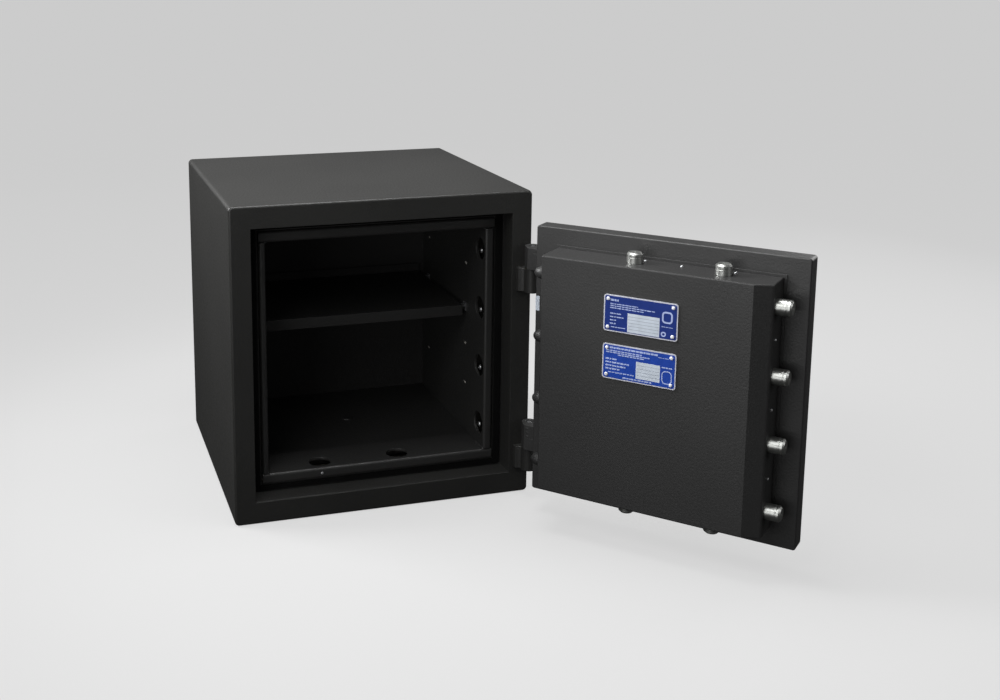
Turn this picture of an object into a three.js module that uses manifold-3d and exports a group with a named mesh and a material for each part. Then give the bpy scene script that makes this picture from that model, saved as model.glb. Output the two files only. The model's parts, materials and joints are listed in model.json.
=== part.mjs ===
// Fire- and burglary-resistant document safe, standing with its door open.
// Millimetres, +Z up. The origin is the centre of the underside; the door side faces -Y.
import * as THREE from "three";
import { mergeVertices } from "three/addons/utils/BufferGeometryUtils.js";
import Module from "manifold-3d";

const wasm = await Module();
wasm.setup();

// ---- Driving dimensions -------------------------------------------------------------

const CASE = { width: 480, depth: 450, height: 500, sheet: 3, edgeRadius: 7, lipRadius: 4 };
const FRONT = -CASE.depth / 2;
const GAP = 0.3;

// Depths are measured back from the front face of the case.
const OPENING = { sideInset: 32.5, endInset: 35, floorDepth: 40, sheet: 3 };
const RISER = { half: 190, low: 48, high: 452, depth: 34, plate: 4, lip: 3 };
const CLEAR = { left: -179.5, right: 175, low: 65, high: 435, backDepth: 110 };
const POCKET = { half: 200, low: 40, high: 460 };
const INSIDE = { half: 183, low: 58, high: 442, backDepth: 388, sheet: 2 };
const SEAL = { sideInset: 35.5, sideWidth: 11, endInset: 37, endWidth: 8.5, thickness: 3 };

const AXIS = { x: 233.5, depth: -19 };
const OPEN_ANGLE = 131.9;
const KNUCKLE = { radius: 12, boreRadius: 5.3, pinRadius: 5 };
const HINGES = [
  { name: "hinge_upper", bodyLow: 341, split: 380, doorHigh: 416 },
  { name: "hinge_lower", bodyLow: 46, split: 84, doorHigh: 127 },
];

// Door pieces are laid out as they lie with the door shut.
const PLATE = { half: 204, low: 39, high: 461, back: 30, sheet: 5, rim: 4 };
const PLUG = { half: 168, low: 69, high: 431, back: 90, sheet: 3 };
const BEVEL = { width: 24.5, depth: 11 };
const RIM_OPENING = { half: 154, low: 83, high: 417 };
const BOLT = { radius: 11.7, depth: 60, length: 60, throwSide: 22, throwEnd: 16 };
const BOLT_Z = [103, 201, 299, 397];
const BOLT_X = [35.5, -93];
const FRAME_HOLE_RADIUS = 17.5;
const DOG = { radius: 10, tip: 191.5, root: 140, chamfer: 4 };
const DOG_HOLE = { radius: 18, stretch: 1.09, depth: 58.5 };
const HANDLE = { x: -28.75, z: 250, spindleRadius: 6, holeRadius: 6.7, length: 112 };
const LOCK = { x: -66.5, z: 330, holeRadius: 6, halfWidth: 30, low: 292, high: 366 };
const LABELS = [
  { name: "label_plate_upper", low: 334.5, high: 388.5 },
  { name: "label_plate_lower", low: 264, high: 316 },
];
const LABEL = { xLow: -42, xHigh: 67.5, thickness: 1.5, cornerRadius: 4 };
const SLOT = { levels: [141, 211, 281, 351], depths: [150, 350], width: 14, height: 5 };
const SHELF = { level: 2, half: 174, front: 137, back: 384, sheet: 2, lip: 16 };
const ANCHOR = { x: 0, depth: 250, boreRadius: 6.5, sleeveRadius: 9 };

// Layers of the bolt work behind the door plate, as [front, back] depths.
const LAYER = {
  fill: [5 + GAP, 26 - GAP],
  hardPlate: [26, 30],
  mounting: [30.6, 34.6],
  cam: [35, 40],
  endArms: [42.7, 47.7],
  sideArm: [49.5, 53.5],
  sideBar: [72.2, 77.2],
  lockCase: [35, 53],
  lockBolt: [41, 51],
};

// ---- Materials ----------------------------------------------------------------------

function material(color, roughness, metalness) {
  return new THREE.MeshStandardMaterial({ color, roughness, metalness });
}

const CASE_PAINT = material(0x2b2b29, 0.6, 0.1);
const DOOR_PAINT = material(0x383838, 0.58, 0.1);
const INNER_PAINT = material(0x262625, 0.6, 0.1);
const BRIGHT_STEEL = material(0xb9bab5, 0.3, 1);
const PLAIN_STEEL = material(0x8b8d8e, 0.45, 1);
const BRASS = material(0xb08d4a, 0.4, 1);
const BARRIER = material(0x9a978f, 0.95, 0);
const SEAL_STRIP = material(0x141414, 0.85, 0);
const BLACK_PLASTIC = material(0x1b1b1b, 0.5, 0);
const LABEL_BLUE = material(0x2a4d9b, 0.35, 0.2);

// ---- Solids -------------------------------------------------------------------------

function toSolid(geometry) {
  const bare = geometry.clone();
  for (const name of Object.keys(bare.attributes)) {
    if (name !== "position") bare.deleteAttribute(name);
  }
  const merged = mergeVertices(bare, 1e-4);
  return new wasm.Manifold(
    new wasm.Mesh({
      numProp: 3,
      vertProperties: new Float32Array(merged.attributes.position.array),
      triVerts: new Uint32Array(merged.index.array),
    }),
  );
}

function toGeometry(solid) {
  const mesh = solid.getMesh();
  const geometry = new THREE.BufferGeometry();
  geometry.setAttribute("position", new THREE.BufferAttribute(mesh.vertProperties, 3));
  geometry.setIndex(new THREE.BufferAttribute(mesh.triVerts, 1));
  geometry.computeVertexNormals();
  return geometry;
}

function join(first, ...others) {
  return toGeometry(others.reduce((sum, other) => sum.add(toSolid(other)), toSolid(first)));
}

function cut(base, ...tools) {
  return toGeometry(tools.reduce((rest, tool) => rest.subtract(toSolid(tool)), toSolid(base)));
}

// A box between two corners given as [x, depth, z].
function block([x0, d0, z0], [x1, d1, z1]) {
  const box = new THREE.BoxGeometry(x1 - x0, d1 - d0, z1 - z0);
  return box.translate((x0 + x1) / 2, FRONT + (d0 + d1) / 2, (z0 + z1) / 2);
}

// A body of revolution: profile points are [radius, distance along the direction].
function turned(profile, [x, depth, z], direction, segments = 20) {
  const points = profile.map(([radius, along]) => new THREE.Vector2(radius, along));
  const lathe = new THREE.LatheGeometry(points, segments);
  const turn = new THREE.Quaternion().setFromUnitVectors(new THREE.Vector3(0, 1, 0), direction);
  return lathe.applyQuaternion(turn).translate(x, FRONT + depth, z);
}

function rod(radius, length, start, direction, segments = 20) {
  const profile = [
    [0, 0],
    [radius, 0],
    [radius, length],
    [0, length],
  ];
  return turned(profile, start, direction, segments);
}

const ALONG_X = new THREE.Vector3(1, 0, 0);
const ALONG_Y = new THREE.Vector3(0, 1, 0);
const ALONG_Z = new THREE.Vector3(0, 0, 1);

function polygon(points) {
  return new THREE.Shape(points.map(([a, b]) => new THREE.Vector2(a, b)));
}

function prism(shape, length, options = {}) {
  const { bevel = 0, curveSegments = 12 } = options;
  const bevelSettings = { bevelThickness: bevel, bevelSize: bevel, bevelOffset: -bevel };
  return new THREE.ExtrudeGeometry(shape, {
    depth: length - 2 * bevel,
    bevelEnabled: bevel > 0,
    bevelSegments: 2,
    curveSegments,
    ...bevelSettings,
  }).translate(0, 0, bevel);
}

// Shape axes (x, depth), extruded upward from z = low.
function prismUp(shape, low, high, options) {
  return prism(shape, high - low, options).translate(0, FRONT, low);
}

// Shape axes (depth, z), extruded along +X.
function prismAcross(shape, left, right) {
  const basis = new THREE.Matrix4().makeBasis(ALONG_Y, ALONG_Z, ALONG_X);
  return prism(shape, right - left).applyMatrix4(basis).translate(left, FRONT, 0);
}

// Shape axes (z, x), extruded into the depth.
function prismInward(shape, near, far, options) {
  const basis = new THREE.Matrix4().makeBasis(ALONG_Z, ALONG_X, ALONG_Y);
  return prism(shape, far - near, options).applyMatrix4(basis).translate(0, FRONT + near, 0);
}

function roundedRectangle(aLow, aHigh, bLow, bHigh, radius) {
  const shape = new THREE.Shape();
  const turn = Math.PI / 2;
  shape.absarc(aHigh - radius, bHigh - radius, radius, 0, turn);
  shape.absarc(aLow + radius, bHigh - radius, radius, turn, 2 * turn);
  shape.absarc(aLow + radius, bLow + radius, radius, 2 * turn, 3 * turn);
  shape.absarc(aHigh - radius, bLow + radius, radius, 3 * turn, 4 * turn);
  return shape;
}

// A closed ring around the front rectangle of the case.
// Profile points are [inset from the side, inset from the top and bottom, depth].
function ringAround(profile, cornerRadius, arcSteps) {
  const tightest = 0.5;
  const positions = [];
  const indices = [];
  const stations = [];
  for (let corner = 0; corner < 4; corner += 1) {
    for (let step = 0; step <= arcSteps; step += 1) {
      const signX = corner === 0 || corner === 3 ? 1 : -1;
      const signZ = corner < 2 ? 1 : -1;
      stations.push([signX, signZ, (Math.PI / 2) * (corner + step / arcSteps)]);
    }
  }
  for (const [signX, signZ, angle] of stations) {
    for (const [side, end, depth] of profile) {
      const radiusX = Math.max(cornerRadius - side, tightest);
      const radiusZ = Math.max(cornerRadius - end, tightest);
      const x = signX * (CASE.width / 2 - side - radiusX) + radiusX * Math.cos(angle);
      const z = signZ * (CASE.height / 2 - end - radiusZ) + radiusZ * Math.sin(angle);
      positions.push(x, FRONT + depth, CASE.height / 2 + z);
    }
  }
  const count = profile.length;
  for (let station = 0; station < stations.length; station += 1) {
    const next = (station + 1) % stations.length;
    for (let point = 0; point < count; point += 1) {
      const after = (point + 1) % count;
      const a = station * count + point;
      const b = station * count + after;
      const c = next * count + point;
      const d = next * count + after;
      indices.push(a, c, b, b, c, d);
    }
  }
  const geometry = new THREE.BufferGeometry();
  geometry.setAttribute("position", new THREE.Float32BufferAttribute(positions, 3));
  geometry.setIndex(indices);
  return geometry;
}

// ---- Scene graph --------------------------------------------------------------------

const safe = new THREE.Group();
const doorPivot = new THREE.Group();
const shutDoor = new THREE.Group();
doorPivot.position.set(AXIS.x, FRONT + AXIS.depth, 0);
doorPivot.rotation.z = THREE.MathUtils.degToRad(OPEN_ANGLE);
shutDoor.position.set(-AXIS.x, -(FRONT + AXIS.depth), 0);
doorPivot.add(shutDoor);
safe.add(doorPivot);

function place(group, name, geometry, paint) {
  const mesh = new THREE.Mesh(geometry, paint);
  mesh.name = name;
  group.add(mesh);
}

// ---- Case ---------------------------------------------------------------------------

function anchorTool(radius, low, high) {
  return rod(radius, high - low, [ANCHOR.x, ANCHOR.depth, low], ALONG_Z);
}

function outerCase() {
  const { sheet, lipRadius, edgeRadius, depth } = CASE;
  const lip = [];
  for (let step = 0; step <= 3; step += 1) {
    const angle = ((Math.PI / 2) * step) / 3;
    const inset = lipRadius * (1 - Math.cos(angle));
    lip.push([inset, inset, lipRadius * (1 - Math.sin(angle))]);
  }
  const profile = [
    [0, 0, depth],
    ...lip,
    [OPENING.sideInset, OPENING.endInset, 0],
    [OPENING.sideInset, OPENING.endInset, sheet],
    [sheet, sheet, sheet],
    [sheet, sheet, depth],
  ];
  return cut(ringAround(profile, edgeRadius, 4), anchorTool(ANCHOR.sleeveRadius + GAP, -1, 5));
}

function backPanel() {
  const inset = CASE.sheet + GAP;
  const half = CASE.width / 2 - inset;
  const radius = CASE.edgeRadius - inset;
  const outline = roundedRectangle(inset, CASE.height - inset, -half, half, radius);
  return prismInward(outline, CASE.depth - CASE.sheet, CASE.depth, { curveSegments: 3 });
}

function barrierFill() {
  const inset = CASE.sheet + GAP;
  const half = CASE.width / 2 - inset;
  const back = CASE.depth - CASE.sheet - GAP;
  const linerHalf = INSIDE.half + INSIDE.sheet + GAP;
  const linerLow = INSIDE.low - INSIDE.sheet - GAP;
  const linerHigh = INSIDE.high + INSIDE.sheet + GAP;
  const linerBack = INSIDE.backDepth + INSIDE.sheet + GAP;
  const wallHalf = CASE.width / 2 - OPENING.sideInset + OPENING.sheet + GAP;
  const wallLow = OPENING.endInset - OPENING.sheet - GAP;
  const frameBack = OPENING.floorDepth + OPENING.sheet + GAP;
  const outline = roundedRectangle(inset, CASE.height - inset, -half, half, CASE.edgeRadius - inset);
  const full = prismInward(outline, CASE.sheet + GAP, back, { curveSegments: 3 });
  const frame = block([-wallHalf, 0, wallLow], [wallHalf, frameBack, CASE.height - wallLow]);
  const pockets = block(
    [-POCKET.half - GAP, 0, POCKET.low - GAP],
    [POCKET.half + GAP, CLEAR.backDepth + GAP, POCKET.high + GAP],
  );
  const room = block([-linerHalf, 0, linerLow], [linerHalf, linerBack, linerHigh]);
  return cut(full, frame, pockets, room, anchorTool(ANCHOR.sleeveRadius + GAP, 0, 60));
}

function innerLiner() {
  const { half, low, high, backDepth, sheet } = INSIDE;
  const front = CLEAR.backDepth + GAP;
  const shell = block(
    [-half - sheet, front, low - sheet],
    [half + sheet, backDepth + sheet, high + sheet],
  );
  const tools = [block([-half, front - 1, low], [half, backDepth, high])];
  for (const level of SLOT.levels) {
    for (const depth of SLOT.depths) {
      tools.push(
        block(
          [-half - 5, depth - SLOT.width / 2, level - SLOT.height / 2],
          [half + 5, depth + SLOT.width / 2, level + SLOT.height / 2],
        ),
      );
    }
  }
  return cut(shell, ...tools, anchorTool(ANCHOR.boreRadius, 50, 60));
}

function doorFrame() {
  const { sideInset, endInset, floorDepth, sheet } = OPENING;
  const riserSide = CASE.width / 2 - RISER.half - GAP;
  const riserEnd = RISER.low - GAP;
  return ringAround(
    [
      [sideInset - sheet, endInset - sheet, CASE.sheet + GAP],
      [sideInset, endInset, CASE.sheet + GAP],
      [sideInset, endInset, floorDepth],
      [riserSide, riserEnd, floorDepth],
      [riserSide, riserEnd, floorDepth + sheet],
      [sideInset - sheet, endInset - sheet, floorDepth + sheet],
    ],
    1,
    1,
  );
}

function fireSeal() {
  const { sideInset, sideWidth, endInset, endWidth, thickness } = SEAL;
  const back = OPENING.floorDepth - GAP;
  return ringAround(
    [
      [sideInset, endInset, back - thickness],
      [sideInset + sideWidth, endInset + endWidth, back - thickness],
      [sideInset + sideWidth, endInset + endWidth, back],
      [sideInset, endInset, back],
    ],
    1,
    1,
  );
}

// Channel section of the inner door frame, as [outward from the clear opening, depth].
function frameSection(riserWidth, pocketWidth) {
  const { depth, plate, lip } = RISER;
  const lipBack = OPENING.floorDepth + OPENING.sheet;
  const back = CLEAR.backDepth;
  return [
    [0, depth],
    [riserWidth, depth],
    [riserWidth, lipBack],
    [riserWidth - lip, lipBack],
    [riserWidth - lip, depth + plate],
    [plate, depth + plate],
    [plate, back - plate],
    [pocketWidth, back - plate],
    [pocketWidth, back],
    [0, back],
  ];
}

function jamb(edge, outward) {
  const riserWidth = RISER.half - Math.abs(edge);
  const pocketWidth = POCKET.half - Math.abs(edge);
  const section = frameSection(riserWidth, pocketWidth);
  const outline = polygon(section.map(([out, depth]) => [edge + outward * out, depth]));
  return prismUp(outline, CLEAR.low + GAP, CLEAR.high - GAP);
}

function crossbar(edge, outward, riserEdge, pocketEdge) {
  const section = frameSection(Math.abs(riserEdge - edge), Math.abs(pocketEdge - edge));
  const outline = polygon(section.map(([out, depth]) => [depth, edge + outward * out]));
  return prismAcross(outline, -RISER.half, RISER.half);
}

function verticalHole(x, z) {
  return rod(FRAME_HOLE_RADIUS, 12, [x, BOLT.depth, z], ALONG_Z, 24);
}

// Hinge-side holes are oval, because the fixed pins swing through them.
function dogHole(z) {
  const { radius, stretch, depth } = DOG_HOLE;
  const round = rod(radius, 12, [0, 0, 0], ALONG_X, 24).translate(0, -FRONT, 0);
  return round.scale(1, stretch, 1).translate(CLEAR.right - 4, FRONT + depth, z);
}

function frameHead() {
  const bar = crossbar(CLEAR.high, 1, RISER.high, POCKET.high);
  return cut(bar, ...BOLT_X.map((x) => verticalHole(x, CLEAR.high - 4)));
}

function frameSill() {
  const bar = crossbar(CLEAR.low, -1, RISER.low, POCKET.low);
  return cut(bar, ...BOLT_X.map((x) => verticalHole(x, CLEAR.low - 8)));
}

function frameJambLeft() {
  const start = CLEAR.left - 8;
  const holes = BOLT_Z.map((z) => rod(FRAME_HOLE_RADIUS, 12, [start, BOLT.depth, z], ALONG_X, 24));
  return cut(jamb(CLEAR.left, -1), ...holes);
}

function frameJambRight() {
  return cut(jamb(CLEAR.right, 1), ...BOLT_Z.map(dogHole));
}

place(safe, "outer_case", outerCase(), CASE_PAINT);
place(safe, "back_panel", backPanel(), CASE_PAINT);
place(safe, "barrier_fill", barrierFill(), BARRIER);
place(safe, "inner_liner", innerLiner(), INNER_PAINT);
place(safe, "door_frame", doorFrame(), CASE_PAINT);
place(safe, "fire_seal", fireSeal(), SEAL_STRIP);
place(safe, "frame_head", frameHead(), INNER_PAINT);
place(safe, "frame_sill", frameSill(), INNER_PAINT);
place(safe, "frame_jamb_left", frameJambLeft(), INNER_PAINT);
place(safe, "frame_jamb_right", frameJambRight(), INNER_PAINT);

// ---- Anchor, shelf and clips --------------------------------------------------------

function anchorSleeve() {
  const { sleeveRadius, boreRadius, x, depth } = ANCHOR;
  const high = INSIDE.low - INSIDE.sheet - GAP;
  const profile = [
    [boreRadius, 0],
    [sleeveRadius, 0],
    [sleeveRadius, high - 1],
    [boreRadius, high - 1],
    [boreRadius, 0],
  ];
  return turned(profile, [x, depth, 1], ALONG_Z, 64);
}

function anchorCap() {
  const profile = [
    [0, -1.8],
    [5.8, -1.8],
    [5.8, 0],
    [11, 0],
    [10, 1.8],
    [0, 2.2],
  ];
  return turned(profile, [ANCHOR.x, ANCHOR.depth, INSIDE.low + GAP], ALONG_Z);
}

const SHELF_UNDERSIDE = SLOT.levels[SHELF.level] - 1.5;

function shelf() {
  const { half, front, back, sheet, lip } = SHELF;
  const under = SHELF_UNDERSIDE;
  const deck = block([-half, front, under], [half, back, under + sheet]);
  const frontLip = block([-half, front, under - lip], [half, front + sheet, under + sheet]);
  const backStop = block([-half, back - sheet, under], [half, back, under + lip]);
  return join(deck, frontLip, backStop);
}

function shelfClip(side, depth) {
  const slotZ = SLOT.levels[SHELF.level];
  const wall = INSIDE.half - GAP;
  const reach = (near, far) => (side > 0 ? [near, far] : [-far, -near]);
  const [webLeft, webRight] = reach(wall - 1.7, wall);
  const [lugLeft, lugRight] = reach(wall - 19, wall);
  const [hookLeft, hookRight] = reach(wall - 1, wall + 2);
  const top = SHELF_UNDERSIDE - GAP;
  const web = block([webLeft, depth - 7, top - 10], [webRight, depth + 7, slotZ + 2]);
  const lug = block([lugLeft, depth - 7, top - 2], [lugRight, depth + 7, top]);
  const hook = block([hookLeft, depth - 5, slotZ - 1.8], [hookRight, depth + 5, slotZ + 1.8]);
  return join(web, lug, hook);
}

place(safe, "anchor_sleeve", anchorSleeve(), PLAIN_STEEL);
place(safe, "anchor_cap", anchorCap(), BLACK_PLASTIC);
place(safe, "shelf", shelf(), INNER_PAINT);
SLOT.depths.forEach((depth, index) => {
  const where = index === 0 ? "front" : "rear";
  place(safe, `shelf_clip_${where}_left`, shelfClip(-1, depth), PLAIN_STEEL);
  place(safe, `shelf_clip_${where}_right`, shelfClip(1, depth), PLAIN_STEEL);
});

// ---- Hinges -------------------------------------------------------------------------

// Leaf and knuckle in one outline: the leaf lies on the face behind it and runs to the left.
function hingeOutline(leafLeft, leafRight, leafFront) {
  const { x, depth } = AXIS;
  const shape = new THREE.Shape();
  shape.moveTo(leafLeft, -GAP);
  shape.lineTo(leafRight, -GAP);
  shape.absarc(x, depth, KNUCKLE.radius, Math.PI / 4, -Math.PI * 1.11, true);
  shape.lineTo(x - KNUCKLE.radius - 3, leafFront);
  shape.lineTo(leafLeft + 2, leafFront);
  shape.lineTo(leafLeft, leafFront + 2);
  shape.holes.push(new THREE.Path().absarc(x, depth, KNUCKLE.boreRadius, 0, 2 * Math.PI));
  return shape;
}

function bodyLeaf({ bodyLow, split }) {
  const outline = hingeOutline(213.5, 238.5, -11);
  return prismUp(outline, bodyLow, split - 1, { bevel: 0.8, curveSegments: 16 });
}

function doorLeaf({ split, doorHigh }) {
  const outline = hingeOutline(171.5, AXIS.x, -10.5);
  return prismUp(outline, split + 1, doorHigh, { bevel: 0.8, curveSegments: 16 });
}

function hingePin({ bodyLow, doorHigh }) {
  const { pinRadius } = KNUCKLE;
  const length = doorHigh - bodyLow - 2;
  const profile = [
    [0, 0],
    [pinRadius, 0],
    [pinRadius, length - 1.5],
    [pinRadius - 1.5, length],
    [0, length],
  ];
  return turned(profile, [AXIS.x, AXIS.depth, bodyLow + 1], ALONG_Z);
}

function hingeWasher({ split }) {
  const thickness = 1.4;
  const inner = KNUCKLE.boreRadius;
  const outer = KNUCKLE.radius - 1.5;
  const profile = [
    [inner, 0],
    [outer, 0],
    [outer, thickness],
    [inner, thickness],
    [inner, 0],
  ];
  return turned(profile, [AXIS.x, AXIS.depth, split - thickness / 2], ALONG_Z);
}

for (const hinge of HINGES) {
  place(safe, `${hinge.name}_body_leaf`, bodyLeaf(hinge), CASE_PAINT);
  place(safe, `${hinge.name}_pin`, hingePin(hinge), PLAIN_STEEL);
  place(safe, `${hinge.name}_washer`, hingeWasher(hinge), BRASS);
  place(shutDoor, `${hinge.name}_door_leaf`, doorLeaf(hinge), DOOR_PAINT);
}

// ---- Door leaf ----------------------------------------------------------------------

function keyHole(near, far) {
  return rod(LOCK.holeRadius, far - near, [LOCK.x, near, LOCK.z], ALONG_Y, 16);
}

function spindleHole(near, far) {
  return rod(HANDLE.holeRadius, far - near, [HANDLE.x, near, HANDLE.z], ALONG_Y, 16);
}

function doorPlate() {
  const { half, low, high, back, sheet, rim } = PLATE;
  const outline = roundedRectangle(low, high, -half, half, 4);
  const slab = prismInward(outline, 0, back, { bevel: 2, curveSegments: 3 });
  const hollow = block([-half + 4, sheet, low + 4], [half - 4, back - rim, high - 4]);
  const rimOpening = block(
    [-RIM_OPENING.half, sheet + 1, RIM_OPENING.low],
    [RIM_OPENING.half, back + 1, RIM_OPENING.high],
  );
  return cut(slab, hollow, rimOpening, keyHole(-1, back), spindleHole(-1, back));
}

function doorFill() {
  const { half, low, high } = PLATE;
  const [near, far] = LAYER.fill;
  const margin = 4 + GAP;
  const slab = block([-half + margin, near, low + margin], [half - margin, far, high - margin]);
  return cut(slab, keyHole(near - 1, far + 1), spindleHole(near - 1, far + 1));
}

function hardPlate() {
  const [near, far] = LAYER.hardPlate;
  const plate = block([-120, near, 215], [20, far - GAP, 385]);
  return cut(plate, keyHole(near - 1, far + 1), spindleHole(near - 1, far + 1));
}

function mountingPlate() {
  const [near, far] = LAYER.mounting;
  const plate = block([-160, near, 77], [160, far, 423]);
  return cut(plate, keyHole(near - 1, far + 1), spindleHole(near - 1, far + 1));
}

// The plug outline as [x, depth]; the lock side has a bevel towards the inside.
function plugOutline(inset, front) {
  const { half, back } = PLUG;
  const slant = inset * 0.65;
  return polygon([
    [half - inset, front],
    [half - inset, back - inset],
    [-half + BEVEL.width + slant, back - inset],
    [-half + inset, back - BEVEL.depth - slant],
    [-half + inset, front],
  ]);
}

function plugCover() {
  const { half, low, high, sheet } = PLUG;
  const front = PLATE.back + GAP;
  const boltHole = BOLT.radius + 0.5;
  const outer = prismUp(plugOutline(0, front), low, high, { bevel: 1.5 });
  const inner = prismUp(plugOutline(sheet, front - 1), low + sheet, high - sheet);
  const side = BOLT_Z.map((z) => rod(boltHole, 12, [-half - 3, BOLT.depth, z], ALONG_X, 24));
  const dogs = BOLT_Z.map((z) => {
    return rod(DOG.radius + GAP, 12, [half - 8, BOLT.depth, z], ALONG_X, 24);
  });
  const ends = BOLT_X.flatMap((x) => [
    rod(boltHole, 12, [x, BOLT.depth, high - 8], ALONG_Z, 24),
    rod(boltHole, 12, [x, BOLT.depth, low - 4], ALONG_Z, 24),
  ]);
  const frontTrim = block([-half - 5, front - 5, low - 5], [half + 5, front, high + 5]);
  return cut(outer, inner, frontTrim, ...side, ...dogs, ...ends);
}

function dogPin(z) {
  const { radius, tip, root, chamfer } = DOG;
  const length = tip - root;
  const profile = [
    [0, 0],
    [radius, 0],
    [radius, length - chamfer],
    [radius - chamfer, length],
    [0, length],
  ];
  return turned(profile, [root, BOLT.depth, z], ALONG_X);
}

function labelPlate({ low, high }) {
  const { xLow, xHigh, cornerRadius, thickness } = LABEL;
  const near = PLUG.back + GAP;
  const outline = roundedRectangle(low, high, xLow, xHigh, cornerRadius);
  return prismInward(outline, near, near + thickness, { curveSegments: 3 });
}

place(shutDoor, "door_plate", doorPlate(), DOOR_PAINT);
place(shutDoor, "door_fill", doorFill(), BARRIER);
place(shutDoor, "hard_plate", hardPlate(), PLAIN_STEEL);
place(shutDoor, "mounting_plate", mountingPlate(), PLAIN_STEEL);
place(shutDoor, "plug_cover", plugCover(), DOOR_PAINT);
BOLT_Z.forEach((z, index) => {
  place(shutDoor, `dog_pin_${index + 1}`, dogPin(z), DOOR_PAINT);
});
for (const label of LABELS) {
  place(shutDoor, label.name, labelPlate(label), LABEL_BLUE);
}

// ---- Sliding bolts and their bars ---------------------------------------------------

// A turned bolt with a groove near its chamfered nose; its direction points out of the door.
function bolt(start, direction) {
  const { radius, length } = BOLT;
  const profile = [
    [0, 0],
    [radius, 0],
    [radius, length - 8],
    [radius - 0.8, length - 7.2],
    [radius - 0.8, length - 6],
    [radius, length - 5.2],
    [radius, length - 2.5],
    [radius - 2.5, length],
    [0, length],
  ];
  return turned(profile, start, direction, 18);
}

const SIDE_TAIL = -PLUG.half - BOLT.throwSide + BOLT.length;
const TOP_TAIL = PLUG.high + BOLT.throwEnd - BOLT.length;
const BOTTOM_TAIL = PLUG.low - BOLT.throwEnd + BOLT.length;

const CAM = { radius: 23, pinRadius: 3.8, slotHalf: 4.5 };
const CRANK_SIDE = BOLT.throwSide / Math.SQRT2;
const CRANK_END = BOLT.throwEnd / Math.SQRT2;

// With the bolts thrown, the crank pins stand at 45 degrees to the bars that they drive.
function crankPin(radius, degrees, far) {
  const angle = THREE.MathUtils.degToRad(degrees);
  const x = HANDLE.x + radius * Math.cos(angle);
  const z = HANDLE.z + radius * Math.sin(angle);
  const near = LAYER.cam[1] - 1;
  return rod(CAM.pinRadius, far - near, [x, near, z], ALONG_Y, 14);
}

function driveCam() {
  const [near, far] = LAYER.cam;
  return join(
    rod(CAM.radius, far - near, [HANDLE.x, near, HANDLE.z], ALONG_Y, 28),
    crankPin(CRANK_SIDE, 135, LAYER.sideArm[1] + 0.5),
    crankPin(CRANK_END, 45, LAYER.endArms[1] + 0.5),
    crankPin(CRANK_END, 225, LAYER.endArms[1] + 0.5),
  );
}

function sideBar() {
  const [barNear, barFar] = LAYER.sideBar;
  const [armNear, armFar] = LAYER.sideArm;
  const { slotHalf } = CAM;
  const left = SIDE_TAIL - 22;
  const pinX = HANDLE.x - CRANK_SIDE / Math.SQRT2;
  const slotLow = HANDLE.z + CRANK_SIDE / Math.SQRT2 - slotHalf;
  const slotHigh = HANDLE.z + CRANK_SIDE + slotHalf;
  const bar = block([left, barNear, BOLT_Z[0] - 14], [SIDE_TAIL, barFar, BOLT_Z[3] + 14]);
  const step = block([left, armNear, slotLow - 4], [SIDE_TAIL, barFar, slotHigh + 4]);
  const arm = block([left, armNear, slotLow - 4], [pinX + slotHalf + 5, armFar, slotHigh + 4]);
  const lug = block([LOCK.x - 24, armNear - 6.5, slotHigh], [LOCK.x - 12, armFar, LOCK.low - 7]);
  const slot = block([pinX - slotHalf, armNear - 1, slotLow], [pinX + slotHalf, armFar + 1, slotHigh]);
  return cut(join(bar, step, arm, lug), slot);
}

// The top bar, or its half-turn copy for the bottom, as a foot, a rising arm and a bar.
function endBar(up) {
  const [near, far] = LAYER.endArms;
  const { slotHalf } = CAM;
  const reach = CRANK_END / Math.SQRT2;
  const pinZ = HANDLE.z + up * reach;
  const outerZ = up > 0 ? TOP_TAIL + 24 : BOTTOM_TAIL - 24;
  const innerZ = outerZ - up * 20;
  const spanX = (a, b) => [HANDLE.x + up * a, HANDLE.x + up * b].sort((p, q) => p - q);
  const spanZ = (a, b) => [a, b].sort((p, q) => p - q);
  const piece = ([x0, x1], [z0, z1], extra = 0) => {
    return block([x0, near - extra, z0], [x1, far + extra, z1]);
  };
  const foot = piece(spanX(1, 22), [pinZ - slotHalf - 4, pinZ + slotHalf + 4]);
  const arm = piece(spanX(20, 30), spanZ(pinZ - up * (slotHalf + 4), outerZ));
  const bar = piece([BOLT_X[1] - 13, BOLT_X[0] + 13], spanZ(innerZ, outerZ));
  const slot = piece(spanX(reach - slotHalf, CRANK_END + slotHalf), [pinZ - slotHalf, pinZ + slotHalf], 1);
  return cut(join(foot, arm, bar), slot);
}

place(shutDoor, "side_bar", sideBar(), PLAIN_STEEL);
BOLT_Z.forEach((z, index) => {
  const start = [SIDE_TAIL, BOLT.depth, z];
  place(shutDoor, `side_bolt_${index + 1}`, bolt(start, ALONG_X.clone().negate()), BRIGHT_STEEL);
});
place(shutDoor, "top_bar", endBar(1), PLAIN_STEEL);
place(shutDoor, "bottom_bar", endBar(-1), PLAIN_STEEL);
BOLT_X.forEach((x, index) => {
  const top = [x, BOLT.depth, TOP_TAIL];
  const bottom = [x, BOLT.depth, BOTTOM_TAIL];
  place(shutDoor, `top_bolt_${index + 1}`, bolt(top, ALONG_Z), BRIGHT_STEEL);
  place(shutDoor, `bottom_bolt_${index + 1}`, bolt(bottom, ALONG_Z.clone().negate()), BRIGHT_STEEL);
});
place(shutDoor, "drive_cam", driveCam(), PLAIN_STEEL);

// ---- Handle -------------------------------------------------------------------------

function handleSpindle() {
  const near = -20;
  const length = LAYER.cam[0] - GAP - near;
  return rod(HANDLE.spindleRadius, length, [HANDLE.x, near, HANDLE.z], ALONG_Y, 16);
}

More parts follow.
